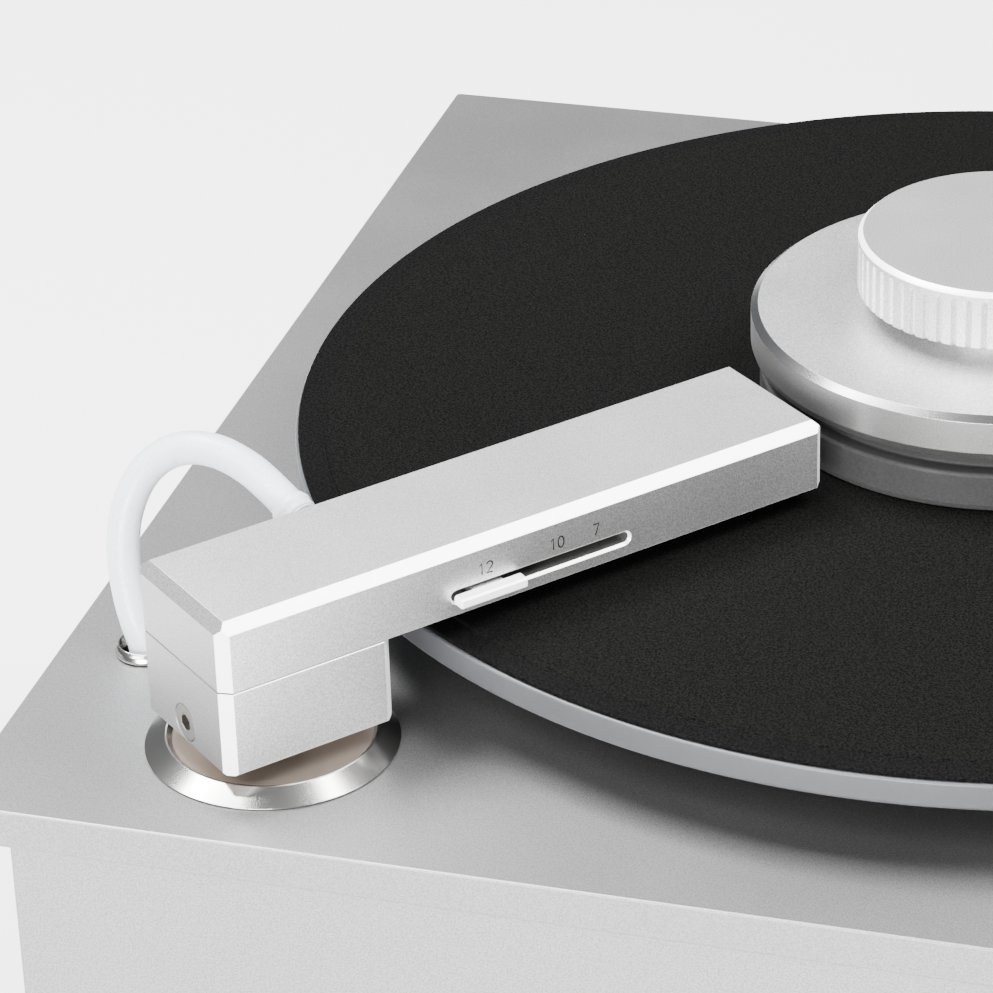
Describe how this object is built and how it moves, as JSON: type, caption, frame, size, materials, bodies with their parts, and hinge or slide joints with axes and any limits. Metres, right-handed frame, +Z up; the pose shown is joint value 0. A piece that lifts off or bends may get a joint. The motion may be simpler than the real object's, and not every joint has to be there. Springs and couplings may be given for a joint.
{
  "type": "record-cleaning turntable",
  "caption": "Square vinyl record cleaning turntable with a belt-driven platter, a screw-on label clamp and a swinging vacuum arm fed by a clear hose.",
  "frame": {"origin": "on the floor under the middle of the square top plate, which is also the platter's axis", "axes": "+Z up, +X to the right, +Y to the rear, seen from the front where the arm's pivot is at the left"},
  "size_m": [0.336, 0.336, 0.248],
  "materials": {
    "deck_metal": "bead-blasted, anodised natural",
    "case_panel": "bead-blasted, anodised natural",
    "dark_paint": "matt charcoal powder coat",
    "steel": "turned and brushed",
    "rubber": "matt black",
    "polished_steel": "turned and polished",
    "satin_aluminium": "bead-blasted, anodised, with diamond-cut edges",
    "frosted_acrylic": "frosted translucent, pale blue-grey",
    "black_felt": "fine dense black felt",
    "black_plastic": "fine moulded texture",
    "brass": "machined",
    "clear_hose": "milky translucent silicone",
    "tank_plastic": "translucent moulded polyethylene",
    "copper_winding": "lacquered copper wire under tape",
    "circuit_board": "green solder mask"
  },
  "bodies": {
    "root": {"top_plate": "deck_metal", "front_panel": "case_panel", "rear_panel": "case_panel", "left_panel": "case_panel", "right_panel": "case_panel", "bottom_plate": "dark_paint", "blower_housing": "dark_paint", "corner_post_front_left": "steel", "corner_post_front_right": "steel", "corner_post_rear_left": "steel", "corner_post_rear_right": "steel", "platter_bearing": "steel", "drive_motor": "steel", "motor_bracket": "steel", "arm_bearing": "steel", "lift_spring": "steel", "foot_front_left": "rubber", "foot_front_right": "rubber", "foot_rear_left": "rubber", "foot_rear_right": "rubber", "drive_belt": "rubber", "arm_flange": "polished_steel", "hose_port": "polished_steel", "air_duct": "black_plastic", "tank_lid": "black_plastic", "blower_motor": "black_plastic", "mains_inlet": "black_plastic", "switch_body": "black_plastic", "drain_valve": "brass", "tank_hose": "clear_hose", "waste_tank": "tank_plastic", "transformer": "copper_winding", "control_board": "circuit_board"},
    "platter": {"spindle": "polished_steel", "platter_hub": "satin_aluminium", "platter": "frosted_acrylic", "platter_mat": "black_felt", "driven_pulley": "black_plastic"},
    "motor_rotor": {"motor_pulley": "brass"},
    "clamp": {"clamp_disc": "satin_aluminium", "clamp_seal": "rubber"},
    "knob": {"clamp_knob": "satin_aluminium"},
    "lift_column": {"lift_sleeve": "polished_steel", "suction_hose": "clear_hose"},
    "arm": {"arm_shaft": "polished_steel", "arm_block": "satin_aluminium", "clamp_screw": "polished_steel", "arm_beam": "satin_aluminium", "beam_base": "satin_aluminium", "felt_lip_front": "black_felt", "felt_lip_rear": "black_felt", "hose_nipple": "polished_steel"},
    "slider": {"size_slider": "polished_steel", "slot_shutter": "black_plastic"},
    "impeller": {"impeller": "satin_aluminium"},
    "button_forward": {"button_forward": "polished_steel"},
    "button_reverse": {"button_reverse": "polished_steel"},
    "button_suction": {"button_suction": "polished_steel"},
    "rocker": {"power_rocker": "black_plastic"},
    "drain_lever": {"drain_lever": "satin_aluminium"}
  },
  "joints": [
    {"name": "platter_spin", "type": "hinge", "parent": "root", "child": "platter", "pos_m": [0, 0, 0.2], "axis": [0, 0, 1], "continuous": true},
    {"name": "pulley_spin", "type": "hinge", "parent": "root", "child": "motor_rotor", "pos_m": [0.088, -0.062, 0.098], "axis": [0, 0, 1], "continuous": true},
    {"name": "clamp_lift", "type": "slide", "parent": "platter", "child": "clamp", "axis": [0, 0, 1], "range_m": [0, 0.03]},
    {"name": "knob_turn", "type": "hinge", "parent": "clamp", "child": "knob", "pos_m": [0, 0, 0.24], "axis": [0, 0, 1], "range_deg": [0, 270]},
    {"name": "arm_lift", "type": "slide", "parent": "root", "child": "lift_column", "axis": [0, 0, 1], "range_m": [-0.0022, 0], "stiffness_N_per_m": 900, "springref_m": 0.008, "deforming": ["lift_spring", "suction_hose"]},
    {"name": "arm_swing", "type": "hinge", "parent": "lift_column", "child": "arm", "pos_m": [-0.1156, -0.1323, 0.2], "axis": [0, 0, 1], "range_deg": [0, 66], "deforming": ["suction_hose"]},
    {"name": "size_slide", "type": "slide", "parent": "arm", "child": "slider", "axis": [0.6578, 0.7532, 0], "range_m": [0, 0.0252]},
    {"name": "forward_press", "type": "slide", "parent": "root", "child": "button_forward", "axis": [0, 0, 1], "range_m": [-0.0015, 0], "stiffness_N_per_m": 400, "springref_m": 0.002},
    {"name": "reverse_press", "type": "slide", "parent": "root", "child": "button_reverse", "axis": [0, 0, 1], "range_m": [-0.0015, 0], "stiffness_N_per_m": 400, "springref_m": 0.002},
    {"name": "suction_press", "type": "slide", "parent": "root", "child": "button_suction", "axis": [0, 0, 1], "range_m": [-0.0015, 0], "stiffness_N_per_m": 400, "springref_m": 0.002},
    {"name": "rocker_tilt", "type": "hinge", "parent": "root", "child": "rocker", "pos_m": [-0.126, 0.159, 0.08], "axis": [1, 0, 0], "range_deg": [0, 14]},
    {"name": "drain_lever_turn", "type": "hinge", "parent": "root", "child": "drain_lever", "pos_m": [0.08, 0.163, 0.058], "axis": [0, -1, 0], "range_deg": [0, 90]},
    {"name": "impeller_spin", "type": "hinge", "parent": "root", "child": "impeller", "pos_m": [-0.088, 0.085, 0.1], "axis": [0, 0, 1], "continuous": true}
  ],
  "couplings": [
    {"joint": "pulley_spin", "follows": "platter_spin", "ratio": 4.5185}
  ]
}
